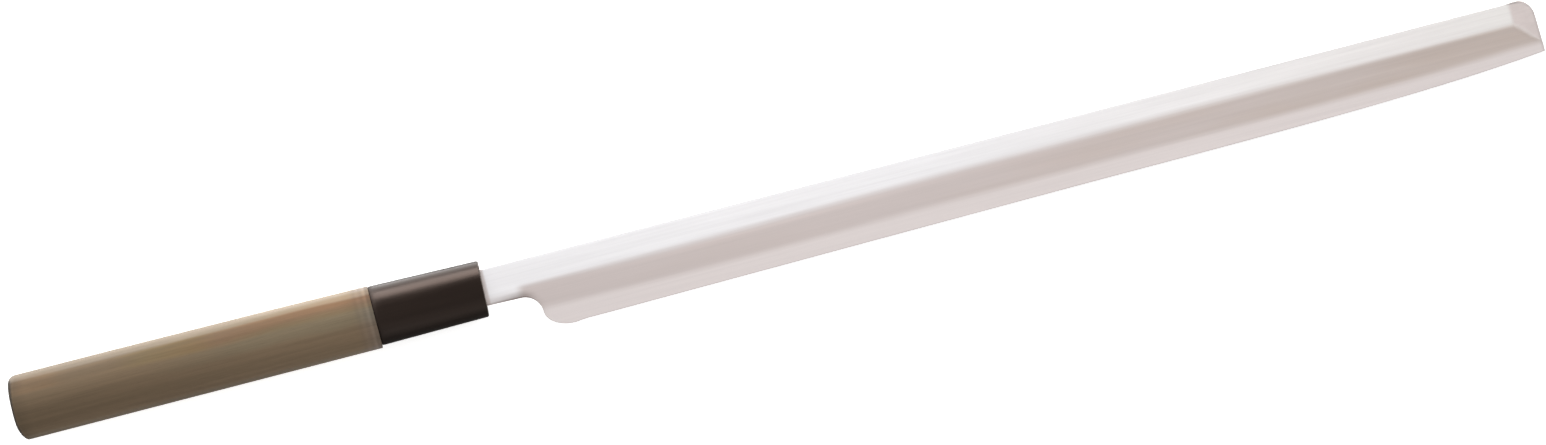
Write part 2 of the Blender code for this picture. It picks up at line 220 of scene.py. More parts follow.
def tip_bevel(x):
    return flat_thickness(TIP_BEVEL_X) - TIP_BEVEL_SLOPE * (x - TIP_BEVEL_X)


def ramp(distance, half):
    """0 before a crease and the distance after it, rounded over half on each side."""
    if distance <= -half:
        return 0.0
    if distance >= half:
        return distance
    return (distance + half) ** 2 / (4.0 * half)


CREASE = 0.10  # half width of the rounding along a crisp crease
TIP_CREASE = 0.85  # along the one at the tip bevel
BAND_CREASE = 1.5  # and along the soft one at the edge band


def shinogi_half(x):
    """The same for the shinogi, which polishing has rounded more towards the heel."""
    return 1.30 + 0.40 * smooth((x - 20.0) / 30.0) - 0.70 * smooth((x - 230.0) / 100.0)


def plunge(x):
    return smooth((x - PLUNGE_X[0]) / (PLUNGE_X[1] - PLUNGE_X[0]))


def thickness(x, y):
    """Thickness of the blade, with every crease a little rounded."""
    flat = flat_thickness(x)
    slope = bevel_slope(x)
    wide = through(SHINOGI_LINE, x) - through(EDGE_BAND_LINE, x)
    below = through(SHINOGI_LINE, x) - y
    drop = slope * ramp(below, shinogi_half(x))
    drop += slope * (BAND_STEEPER - 1.0) * ramp(below - wide, BAND_CREASE)
    ground = flat - drop * plunge(x)
    if x > TIP_BEVEL_X - 2.0:
        # the crease of the tip bevel, rounded over the same width
        over = ground - (flat_thickness(TIP_BEVEL_X) - TIP_BEVEL_SLOPE * (x - TIP_BEVEL_X))
        half = TIP_CREASE + 0.35 * smooth((0.5 - y) / 3.0)
        ground -= ramp(over, half * TIP_BEVEL_SLOPE)
    return max(ground, EDGE_THICK)


def crease_y(x):
    """The line where the flat, or the tip bevel, meets the wide bevel."""
    y = through(SHINOGI_LINE, x)
    if x > TIP_BEVEL_X:
        y -= (flat_thickness(x) - tip_bevel(x)) / bevel_slope(x) - 0.6 * smooth((x - TIP_BEVEL_X) / 2.0)
    return y


def spaced(a, b, count):
    """count values from just after a up to b."""
    return [a + (b - a) * k / count for k in range(1, count + 1)]


SPINE_FACE, CORNER, FLAT, TURN, WIDE = 4, 4, 9, 8, 12
SOFT, BAND, LIP, WALL, RIM, HOLLOW = 8, 9, 4, 3, 3, 18


def blade_section(x):
    """Rows of (y, z, bevel, band, tip, left, line, shoulder) round the blade at x.

    Bevel, band, tip and left say which ground face a point is on, line that it is on the broken outline, which
    takes painted shade, and shoulder that it is just below the shinogi, which takes a painted highlight.
    """
    top, bottom = top_y(x), bottom_y(x)
    low = LEFT_Z
    p = plunge(x)
    ease = 1.0 - smooth((x - 9.0) / 9.0)
    wide_ease = 0.20 + (NECK_EASE[0] - 0.20) * ease
    width = 0.20 + (NECK_CORNER[0] - 0.20) * ease
    deep = NECK_EASE[1] * ease
    depth = 0.08 + (NECK_CORNER[1] - 0.08) * ease
    if x >= HEEL_X - 3.0:
        width, depth = 0.20, 0.08 * (1.0 - smooth((x - HEEL_X + 3.0) / 3.0))
    crown = low + thickness(x, top)
    corner = SPINE_EASE
    tip_share = smooth((x - TIP_BEVEL_X + TIP_CREASE) / (2.0 * TIP_CREASE))
    # how much painted shade the broken outline takes at the tip corner, along the lower outline and at the square
    # end
    tip_line = smooth((x - 349.8) / 3.0) * (1.0 - 0.55 * smooth((x - 353.6) / 4.0))
    low_line = (0.55 + 0.45 * smooth(x / 10.0)) * (1.0 - 0.55 * smooth((x - 13.0) / 5.0))
    end_line = 0.30 * smooth((x - 358.9) / 0.9)
    points = []

    def put(y, z, bevel=0.0, band=0.0, tip=0.0, left=0.0, line=0.0):
        below = crease - y
        shoulder = p * smooth((below - 0.7) / 0.8) * (1.0 - smooth((below - 1.5) / 1.3))
        if left == 0.0:
            line = max(line, end_line)
        points.append((y, z, bevel, band, tip, left, line, shoulder))

    def face(y):
        """How far the soft crease at the edge band is passed."""
        return p * smooth((through(EDGE_BAND_LINE, x) + BAND_CREASE - y) / (2.0 * BAND_CREASE))

    crease = min(crease_y(x), top - corner - 0.9)

    # spine face, upwards, then its rounded corner
    for z in [low + corner] + spaced(low + corner, crown - corner, SPINE_FACE):
        put(top, z, tip=tip_share, line=tip_line)
    for a in spaced(0.0, math.pi / 2.0, CORNER):
        put(
            top - corner + corner * math.cos(a),
            low + thickness(x, top - corner) - corner + corner * math.sin(a),
            tip=tip_share,
            line=tip_line,
        )
    # flat, crease, wide bevel, soft crease, edge band, lip
    line = min(max(through(EDGE_BAND_LINE, x), bottom + width + 0.5), crease - 0.8)
    soft = shinogi_half(x) + 0.6 * smooth((x - 350.5) / 3.0)
    round_off = min(soft, (top - corner - crease) * 0.7, (crease - line) * 0.45)
    half = min(BAND_CREASE, (crease - round_off - line) * 0.8, (line - bottom - width) * 0.8)

    def lift(y):
        """Height of the right side at y, with the lip above the lower outline eased."""
        z = low + thickness(x, y)
        t = (y - bottom) / width
        if t < 1.0:
            z -= depth * (1.0 - t) ** 2
        t = (y - bottom) / wide_ease
        if t < 1.0:
            z -= deep * (1.0 - t) ** 2
        return z

    def rolled(y):
        """The rounded underside of the neck is ground as the bevel that it runs into."""
        return p + (1.0 - p) * 0.5 * min(max(1.0 - (y - bottom) / wide_ease, 0.0), 1.0)

    for y in spaced(top - corner, crease + round_off, FLAT):
        put(y, lift(y), tip=tip_share)
    for y in spaced(crease + round_off, crease - round_off, TURN):
        share = smooth((crease + round_off - y) / (2.0 * round_off))
        put(y, lift(y), rolled(y) * share, face(y) * share, tip_share * (1.0 - share))
    for y in spaced(crease - round_off, line + half, WIDE):
        put(y, lift(y), rolled(y), face(y))
    for y in spaced(line + half, line - half, SOFT):
        put(y, lift(y), rolled(y), face(y))
    for y in spaced(line - half, bottom + width, BAND):
        put(y, lift(y), rolled(y), face(y))
    for y in spaced(bottom + width, bottom, LIP):
        line = low_line * smooth(1.15 - (y - bottom) / 0.75)
        put(y, max(lift(y), low + EDGE_THICK), rolled(y), face(y), line=line)
    # wall of the lower outline, then the left side with its hollow
    edge = points[-1][1]
    ease_low = min(0.08, (edge - low) * 0.35)
    for z in spaced(edge, low + ease_low, WALL):
        put(bottom, z, rolled(bottom), face(bottom), line=low_line)
    hollow = HOLLOW_DEPTH * smooth((x - HOLLOW_X[0]) / (HOLLOW_X[1] - HOLLOW_X[0]))
    hollow *= 1.0 - smooth((x - HOLLOW_X[2]) / (HOLLOW_X[3] - HOLLOW_X[2]))
    first, last = bottom + HOLLOW_RIM_EDGE, top - HOLLOW_RIM_SPINE
    if x < HEEL_X:
        first, last = bottom + 0.18 * (top - bottom), top - 0.18 * (top - bottom)
    for y in spaced(bottom + ease_low, first, RIM):
        put(y, low, left=1.0)
    for k in range(1, HOLLOW + 1):
        t = k / HOLLOW
        put(first + (last - first) * t, low + hollow * 4.0 * t * (1.0 - t), left=1.0)
    for y in spaced(last, top - corner, RIM):
        put(y, low, left=1.0)
    for a in (0.35, 0.75):
        angle = a * math.pi / 2.0
        put(
            top - corner + corner * math.sin(angle),
            low + corner - corner * math.cos(angle),
            left=1.0 - a,
        )
    return points


def tang_section(x, count):
    """The same number of points round the tang, a plain bar with rounded corners."""
    top, bottom = top_y(x), bottom_y(x)
    share = (x - TANG_END_X) / (SHOULDER_X[1] - TANG_END_X)
    half = (TANG_THICK_END + (THICK_AT_NECK - TANG_THICK_END) * share) / 2.0
    centre, tall = (top + bottom) / 2.0, (top - bottom) / 2.0
    ring = []
    for k in range(count):
        angle = -2.0 * math.pi * (k + 0.5) / count + 0.30
        c, s = math.cos(-angle), math.sin(-angle)
        y = math.copysign(abs(c) ** (2.0 / 10.0), c)
        z = math.copysign(abs(s) ** (2.0 / 10.0), s)
        ring.append((centre + tall * y, half * z, 0.0, 0.0, 0.0, 0.0, 0.0, 0.0))
    return ring


def blade_stations():
    xs = [SHOULDER_X[1] + 0.02]
    xs += [-2.0, -1.0]
    x = 0.0
    while x < 10.0:
        xs.append(x)
        x += 0.8
    x = 10.2
    while x < HEEL_FILLET_X:
        xs.append(x)
        x += 0.2
    for k in range(0, 27):
        xs.append(HEEL_FILLET_X + HEEL_FILLET_RADIUS * math.sin(math.pi / 2.0 * k / 26.0))
    for k in range(1, 35):
        xs.append(HEEL_X - HEEL_LONG * math.cos(math.pi / 2.0 * k / 34.0))
    x = HEEL_X + 0.8
    while x < TIP_BEVEL_X - 1.2:
        xs.append(x)
        x += 1.2 if x < 44.0 else (3.0 if x < 330.0 else 1.4)
    xs += [TIP_BEVEL_X + TIP_CREASE * (k / 4.0 - 1.0) for k in range(9)]
    xs += [TIP_BEVEL_X + 1.0, TIP_BEVEL_X + 1.7, TIP_BEVEL_X + 2.3]
    start = TIP_X - TIP_CORNER_RADIUS
    for k in range(0, 23):
        xs.append(start + TIP_CORNER_RADIUS * math.sin(math.pi / 2.0 * k / 22.0))
    return sorted(xs)


def lean(x, y):
    share = smooth((x - TIP_BEVEL_X) / (TIP_X - TIP_BEVEL_X))
    return -TIP_LEAN * share * (y - EDGE_LINE[-1][1]) / (SPINE_Y - EDGE_LINE[-1][1])


# ---------------------------------------------------------------------------
# sections of grip and ferrule
# ---------------------------------------------------------------------------
RING = 128


def oval(x, top, bottom, half_thick, squareness, count=RING):
    centre, half = (top + bottom) / 2.0, (top - bottom) / 2.0
    ring = []
    for k in range(count):
        angle = 2.0 * math.pi * k / count
        c, s = math.cos(angle), math.sin(angle)
        y = math.copysign(abs(c) ** (2.0 / squareness), c)
        z = math.copysign(abs(s) ** (2.0 / squareness), s)
        ring.append((x, centre + half * y, half_thick * z))
    return ring


def grip_ring(x, scale=1.0, inset=0.0):
    top, bottom = through(GRIP_TOP, x), through(GRIP_BOTTOM, x)
    centre = (top + bottom) / 2.0
    ring = oval(
        x,
        top - inset,
        bottom + inset,
        through(GRIP_HALF_THICK, x) - inset,
        through(GRIP_SQUARENESS, x),
    )
    return [(px, centre + (py - centre) * scale, pz * scale) for px, py, pz in ring]


def butt_ring(share):
    """The domed end of the grip where its section has grown to share: flat, then falling back as the cube."""
    up, down, side = BUTT_REACH
    ring = []
    for x, y, z in grip_ring(BUTT_X):
        rise = y - BUTT_MIDDLE_Y
        fall = math.hypot(rise / (up if rise > 0.0 else down), z / side) ** 3
        corner = BUTT_CORNER[0] + BUTT_CORNER[1] * max(y / through(GRIP_TOP, BUTT_X), 0.0) ** 2
        back = 0.0
        if share > BUTT_FLAT:
            back = fall * (share**3 - BUTT_FLAT**3)
            back += corner * (1.0 - math.sqrt(max(1.0 - share**14, 0.0)))
        ring.append((x + back, BUTT_MIDDLE_Y + rise * share, z * share))
    return ring


def ferrule_ring(x, inset=0.0):
    return oval(
        x,
        through(FERRULE_TOP, x) - inset,
        through(FERRULE_BOTTOM, x) + inset,
        through(FERRULE_HALF_THICK, x) - inset,
        FERRULE_SQUARENESS,
    )


def leaned(ring, share=1.0):
    """A ring of the collar's front, moved forward as that face leans."""
    forward, lean = FERRULE_FRONT_LEAN
    return [(x + (forward + lean * y) * share, y, z) for x, y, z in ring]


def bore_ring(x, inset=0.0):
    half_y, half_z = BORE_HALF
    return oval(x, half_y - inset, -half_y + inset, half_z - inset, BORE_SQUARENESS)


def slot_ring(x, margin):
    at = min(x, SHOULDER_X[0])
    share = (at - TANG_END_X) / (SHOULDER_X[1] - TANG_END_X)
    half = (TANG_THICK_END + (THICK_AT_NECK - TANG_THICK_END) * share) / 2.0
    return oval(
        x, through(TANG_TOP, at) + margin, through(TANG_BOTTOM, at) - margin, half + margin, 9.0
    )


def neck_ring(x, margin):
    return oval(
        x, SPINE_Y + margin, through(NECK_BOTTOM, 0.0) - margin, THICK_AT_NECK / 2.0 + margin, 12.0
    )


# ---------------------------------------------------------------------------
# mesh building
# ---------------------------------------------------------------------------


def skin(name, rings, closed=False, sharp=35.0, layers=None):
    """Skin a chain of rings of (x, y, z) in the knife's frame. layers is {name: values in the rings' order}."""
    count = len(rings[0])
    points = [[c * MM for c in point[:3]] for ring in rings for point in ring]
    faces = []
    rows = len(rings)
    for i in range(rows if closed else rows - 1):
        a, b = i * count, ((i + 1) % rows) * count
        for k in range(count):
            n = (k + 1) % count
            faces.append((a + k, a + n, b + n, b + k))
    if not closed:
        faces.append(tuple(range(count)))
        faces.append(tuple(range((rows - 1) * count, rows * count)))
    mesh = bpy.data.meshes.new(name)
    mesh.from_pydata(points, [], faces)
    for layer, values in (layers or {}).items():
        attribute = mesh.attributes.new(layer, "FLOAT", "POINT")
        attribute.data.foreach_set("value", values)
    bm = bmesh.new()
    bm.from_mesh(mesh)
    bmesh.ops.recalc_face_normals(bm, faces=bm.faces)
    uv = bm.loops.layers.uv.new("along")
    for face in bm.faces:
        for loop in face.loops:
            co = loop.vert.co
            loop[uv].uv = (co.x * 4.0 + 0.5, (co.y + co.z) * 4.0 + 0.5)
    bm.to_mesh(mesh)
    bm.free()
    mesh.shade_smooth()
    mesh.set_sharp_from_angle(angle=math.radians(sharp))
    obj = bpy.data.objects.new(name, mesh)
    bpy.context.scene.collection.objects.link(obj)
    obj.matrix_world = KNIFE
    return obj


def make_blade():
    count = len(blade_section(100.0))
    rings, facts = [], []
    tang_xs = [TANG_END_X, TANG_END_X + 0.4]
    tang_xs += [TANG_END_X + 4.0 + k * 8.0 for k in range(14)]
    tang_xs += [SHOULDER_X[0], -4.1, -3.8, -3.5, -3.2, SHOULDER_X[1]]
    for x in sorted(tang_xs):
        section = tang_section(x, count)
        if x == TANG_END_X:
            middle = (top_y(x) + bottom_y(x)) / 2.0
            section = [
                (middle + (p[0] - middle) * 0.9, p[1] * 0.75, *p[2:]) for p in section
            ]
        rings.append([(x, p[0], p[1]) for p in section])
        facts += [p[2:] for p in section]
    for x in blade_stations():
        section = blade_section(x)
        rings.append([(x + lean(x, p[0]), p[0], p[1]) for p in section])
        facts += [p[2:] for p in section]
    # the square end: its outline broken by a hair, then flat
    last = rings[-1]
    rings[-1] = [(x - 0.10, y, z) for x, y, z in last]
    middle_y = sum(p[1] for p in last) / count
    middle_z = LEFT_Z + tip_bevel(TIP_X) * 0.5
    inner = []
    for x, y, z in last:
        dy, dz = middle_y - y, middle_z - z
        inner.append(
            (
                x,
                y + math.copysign(min(0.10, abs(dy) * 0.5), dy),
                z + math.copysign(min(0.05, abs(dz) * 0.3), dz),
            )
        )
    rings.append(inner)
    facts += [p[2:] for p in blade_section(TIP_X)]
    layers = {
        name: [f[i] for f in facts]
        for i, name in enumerate(("bevel", "band", "tip", "left", "line", "shoulder"))
    }
    return skin("blade_ground", rings, sharp=30.0, layers=layers)


def make_grip():
    rings = []
    shares = [BUTT_FLAT + (0.74 - BUTT_FLAT) * k / 6.0 for k in range(7)]
    shares += [math.sin(math.radians(a)) ** (1.0 / 7.0) for a in range(10, 91, 5)]
    for share in shares:
        rings.append(butt_ring(share))
    ends = [1.0 - 0.75 * smooth((share - 0.93) / 0.07) for share in shares]
    start, stop = BUTT_X + 6.0, GRIP_FRONT_X - GRIP_FRONT_EASE
    for k in range(61):
        rings.append(grip_ring(start + (stop - start) * k / 60))
    for k in range(1, 6):
        angle = math.pi / 2.0 * k / 5.0
        rings.append(
            grip_ring(
                stop + GRIP_FRONT_EASE * math.sin(angle),
                inset=GRIP_FRONT_EASE * 0.7 * (1.0 - math.cos(angle)),
            )
        )
    rings.append(bore_ring(GRIP_FRONT_X, GAP))
    rings.append(bore_ring(TENON_FRONT_X, GAP))
    margin = 2.0 * GAP + BEDDING_WALL
    for x in (TENON_FRONT_X, -45.0, -85.0, TANG_END_X - 2.2):
        rings.append(slot_ring(x, margin))
    ends += [0.0] * (len(rings) - len(ends))
    layers = {"end": [end for end in ends for _ in range(RING)]}
    return skin("grip_turned", rings, sharp=40.0, layers=layers)


def make_ferrule():
    # its back edge is rounded a little more lengthwise, so the shine stops short of the joint
    rings = [ferrule_ring(FERRULE_BACK_X, FERRULE_BACK_EASE[1])]
    for k in range(1, 9):
        angle = math.pi / 2.0 * k / 8.0
        rings.append(
            ferrule_ring(
                FERRULE_BACK_X + FERRULE_BACK_EASE[0] * (1.0 - math.cos(angle)),
                FERRULE_BACK_EASE[1] * (1.0 - math.sin(angle)),
            )
        )
    for k in range(1, 19):
        rings.append(
            leaned(
                ferrule_ring(FERRULE_BACK_X + FERRULE_BACK_EASE[0] + (36.15 - FERRULE_BACK_EASE[0]) * k / 18.0),
                k / 18.0,
            )
        )
    for k in range(1, 8):
        angle = math.pi / 2.0 * k / 7.0
        nose = ferrule_ring(
            -0.70 + (FERRULE_NOSE_X + 0.70) * math.sin(angle),
            FERRULE_NOSE_EASE * (1.0 - math.cos(angle)),
        )
        rings.append(leaned(nose))
    for inset in (-0.12, -0.03):
        rings.append(leaned(bore_ring(FERRULE_NOSE_X + inset * 0.4 + 0.04, inset)))
    rings.append(leaned(bore_ring(FERRULE_NOSE_X - 0.12)))
    rings.append(bore_ring(-18.0))
    rings.append(bore_ring(FERRULE_BACK_X))
    return skin("ferrule_polished", rings, closed=True, sharp=40.0)


def make_seal():
    """Filler in the mouth, drawn up a little round the neck and at the wall, as it cures."""
    rings = [bore_ring(SEAL_X[0], GAP), leaned(bore_ring(SEAL_X[1] - 0.05, GAP))]
    steps = 14
    outer, inner = bore_ring(SEAL_X[1], GAP), neck_ring(SEAL_X[1], GAP)
    for k in range(steps + 1):
        t = k / steps
        sag = 0.55 * (4.0 * t * (1.0 - t)) ** 0.7
        filler = [
            (SEAL_X[1] - sag, a[1] + (b[1] - a[1]) * t, a[2] + (b[2] - a[2]) * t)
            for a, b in zip(outer, inner)
        ]
        rings.append(leaned(filler))
    rings.append(neck_ring(SEAL_X[0], GAP))
    return skin("mouth_filler_cured", rings, closed=True, sharp=40.0)


# ---------------------------------------------------------------------------
# finishes
# ---------------------------------------------------------------------------


class Finish:
    """A small helper for node materials."""

    def __init__(self, name):
        self.material = bpy.data.materials.new(name)
        self.material.use_nodes = True
        self.tree = self.material.node_tree
        self.tree.nodes.clear()
        self.output = self.tree.nodes.new("ShaderNodeOutputMaterial")
        self.shader = self.tree.nodes.new("ShaderNodeBsdfPrincipled")
        self.link(self.shader.outputs[0], self.output.inputs["Surface"])
        self.place = self.tree.nodes.new("ShaderNodeTexCoord").outputs["Object"]

    def link(self, a, b):
        self.tree.links.new(a, b)

    def set(self, **values):
        for key, value in values.items():
            self.shader.inputs[key.replace("_", " ")].default_value = value

    def scaled(self, scale, location=(0.0, 0.0, 0.0)):
        node = self.tree.nodes.new("ShaderNodeMapping")
        node.inputs["Scale"].default_value = scale
        node.inputs["Location"].default_value = location
        self.link(self.place, node.inputs["Vector"])
        return node.outputs[0]

    def noise(self, scale, detail=3.0, roughness=0.5, distortion=0.0, location=(0.0, 0.0, 0.0)):
        node = self.tree.nodes.new("ShaderNodeTexNoise")
        node.inputs["Scale"].default_value = 1.0
        node.inputs["Detail"].default_value = detail
        node.inputs["Roughness"].default_value = roughness
        node.inputs["Distortion"].default_value = distortion
        self.link(self.scaled(scale, location), node.inputs["Vector"])
        return node.outputs["Fac"]

    def attribute(self, name):
        node = self.tree.nodes.new("ShaderNodeAttribute")
        node.attribute_name = name
        return node.outputs["Fac"]

    def spread(self, value, low, high, to_low=0.0, to_high=1.0, soft=False):
        node = self.tree.nodes.new("ShaderNodeMapRange")
        node.interpolation_type = "SMOOTHSTEP" if soft else "LINEAR"
        node.inputs["From Min"].default_value = low
        node.inputs["From Max"].default_value = high
        node.inputs["To Min"].default_value = to_low
        node.inputs["To Max"].default_value = to_high
        self.link(value, node.inputs["Value"])
        return node.outputs[0]

    def math(self, kind, a, b, clamp=False):
        node = self.tree.nodes.new("ShaderNodeMath")
        node.operation = kind
        node.use_clamp = clamp
        for socket, value in zip(node.inputs, (a, b)):
            if isinstance(value, (int, float)):
                socket.default_value = value
            else:
                self.link(value, socket)
        return node.outputs[0]

    def mix(self, share, a, b, kind="MIX"):
        node = self.tree.nodes.new("ShaderNodeMix")
        node.data_type = "RGBA"
        node.blend_type = kind
        if isinstance(share, (int, float)):
            node.inputs[0].default_value = share
        else:
            self.link(share, node.inputs[0])
        for socket, value in ((node.inputs[6], a), (node.inputs[7], b)):
            if isinstance(value, tuple):
                socket.default_value = (*value, 1.0)
            else:
                self.link(value, socket)
        return node.outputs[2]

    def window(self, value, start, rise, fall, end):
        """0 up to start, 1 from rise to fall, 0 from end on."""
        up = self.spread(value, start, rise, soft=True)
        down = self.spread(value, fall, end, 1.0, 0.0, soft=True)
        return self.math("MULTIPLY", up, down)

    def scale(self, colour, amount):
        node = self.tree.nodes.new("ShaderNodeVectorMath")
        node.operation = "SCALE"
        self.link(colour, node.inputs[0])
        self.link(amount, node.inputs["Scale"])
        return node.outputs[0]

    def axis(self, name):
        node = self.tree.nodes.new("ShaderNodeSeparateXYZ")
        self.link(self.place, node.inputs[0])
        return node.outputs[name]

    def bump(self, height, strength, distance, over=None):
        node = self.tree.nodes.new("ShaderNodeBump")
        node.inputs["Strength"].default_value = strength
        node.inputs["Distance"].default_value = distance
        self.link(height, node.inputs["Height"])
        if over is not None:
            self.link(over, node.inputs["Normal"])
        return node.outputs[0]


def srgb(r, g, b):
    """8-bit display colour to linear."""

    def one(c):
        c /= 255.0
        return c / 12.92 if c <= 0.04045 else ((c + 0.055) / 1.055) ** 2.4

    return (one(r), one(g), one(b))


def steel_finish():
    f = Finish("satin_steel")
    f.set(Metallic=1.0, Anisotropic=0.6, Anisotropic_Rotation=0.25)
    tangent = f.tree.nodes.new("ShaderNodeTangent")
    tangent.direction_type = "UV_MAP"
    tangent.uv_map = "along"
    f.link(tangent.outputs[0], f.shader.inputs["Tangent"])
    bevel, band, tip, line, shoulder = (
        f.attribute(n) for n in ("bevel", "band", "tip", "line", "shoulder")
    )
    along, height = f.axis("X"), f.axis("Y")
    # lengthwise grinding lines at three scales
    fine = f.noise((60.0, 9000.0, 9000.0), 2.0, 0.6)
    middle = f.noise((14.0, 1500.0, 1500.0), 3.0, 0.6)
    broad = f.noise((5.0, 160.0, 160.0), 2.0, 0.5)
    streak = f.math("ADD", f.math("MULTIPLY", fine, 0.35), f.math("MULTIPLY", middle, 0.65))
    flat_colour = srgb(237, 236, 238.5)
    wide_colour = srgb(205, 195, 193)
    band_colour = srgb(225, 217, 216)
    tip_colour = srgb(217, 207, 205)
    # the wide bevel is a little darker and browner towards the tip
    wide = f.mix(f.spread(along, 0.17, 0.35), wide_colour, srgb(195, 184, 179))
    patches = f.noise((18.0, 130.0, 130.0), 2.0, 0.5, 0.0, (7.0, 0.0, 0.0))
    brown = f.math("MULTIPLY", f.spread(patches, 0.35, 0.70, soft=True), f.spread(along, 0.12, 0.26, 0.25, 1.0))
    wide = f.mix(brown, wide, (0.985, 0.965, 0.940), "MULTIPLY")
    # and a painted highlight just below the shinogi, where polishing has rounded it, but not near the tip
    lift = f.spread(along, 0.020, 0.070, 0.02, 0.075, soft=True)
    lift = f.math("SUBTRACT", lift, f.spread(along, 0.090, 0.310, 0.0, 0.105))
    wide = f.scale(wide, f.math("ADD", f.math("MULTIPLY", shoulder, lift), 1.0))
    flat = f.mix(f.spread(along, 0.15, 0.31), flat_colour, srgb(232.5, 229.5, 229))
    flat = f.mix(f.spread(along, 0.320, 0.352), flat, (0.975, 0.980, 0.970), "MULTIPLY")
    colour = f.mix(bevel, flat, wide)
    colour = f.mix(band, colour, band_colour)
    colour = f.mix(tip, colour, tip_colour)
    # painted shade in the corner where the neck runs into the bevel, and a painted shadow on the neck at the collar
    low = f.spread(height, -0.0068, -0.0042, 1.0, 0.0, soft=True)
    corner = f.math("MULTIPLY", low, f.window(along, 0.0085, 0.0115, 0.0135, 0.0170))
    corner = f.math("MULTIPLY", corner, f.spread(height, -0.0095, -0.0070))
    colour = f.mix(f.math("MULTIPLY", corner, 0.16), colour, srgb(112, 96, 92))
    collar = f.spread(along, 0.0007, 0.0016, 1.0, 0.0, soft=True)
    colour = f.mix(collar, colour, (0.80, 0.74, 0.71), "MULTIPLY")
    # painted shade on the rounded underside of the neck and the curve down to the heel, darker towards the outline
    out = f.math("MAXIMUM", f.math("SUBTRACT", along, HEEL_FILLET_X / 1000.0), 0.0)
    down = f.math("ADD", height, (0.00585 + HEEL_FILLET_RADIUS / 1000.0))
    reach = f.math("SQRT", f.math("ADD", f.math("MULTIPLY", out, out), f.math("MULTIPLY", down, down)), 0.0)
    inside = f.math("SUBTRACT", reach, HEEL_FILLET_RADIUS / 1000.0)
    dark = f.spread(inside, 0.0004, 0.0022, 1.0, 0.0)
    dark = f.math("MULTIPLY", dark, f.spread(along, 0.001, 0.009, 0.25, 0.95))
    dark = f.math("MULTIPLY", dark, f.spread(along, 0.0125, 0.0150, 1.0, 0.42))
    dark = f.math("MULTIPLY", dark, f.spread(along, 0.0150, 0.0185, 1.0, 0.3))
    colour = f.mix(dark, colour, (0.66, 0.64, 0.63), "MULTIPLY")
    # painted shade along the broken outline, lighter towards the tip
    broken = f.mix(f.spread(along, 0.200, 0.340), srgb(132, 121, 117), srgb(148, 144, 142))
    colour = f.mix(f.math("MULTIPLY", line, 0.92), colour, broken)
    shade = f.spread(streak, 0.3, 0.7, 0.955, 1.03)
    shade = f.math("MULTIPLY", shade, f.spread(broad, 0.3, 0.7, 0.985, 1.015))
    shade = f.math("MULTIPLY", shade, f.spread(along, 0.005, 0.10, 0.955, 1.0))
    f.link(f.scale(colour, shade), f.shader.inputs["Base Color"])
    rough = f.spread(streak, 0.3, 0.7, 0.34, 0.42)
    rough = f.math("ADD", rough, f.math("MULTIPLY", bevel, 0.05))
    rough = f.math("ADD", rough, f.math("MULTIPLY", band, -0.04))
    f.link(rough, f.shader.inputs["Roughness"])
    f.link(f.bump(streak, 0.10, 0.00002), f.shader.inputs["Normal"])
    return f.material


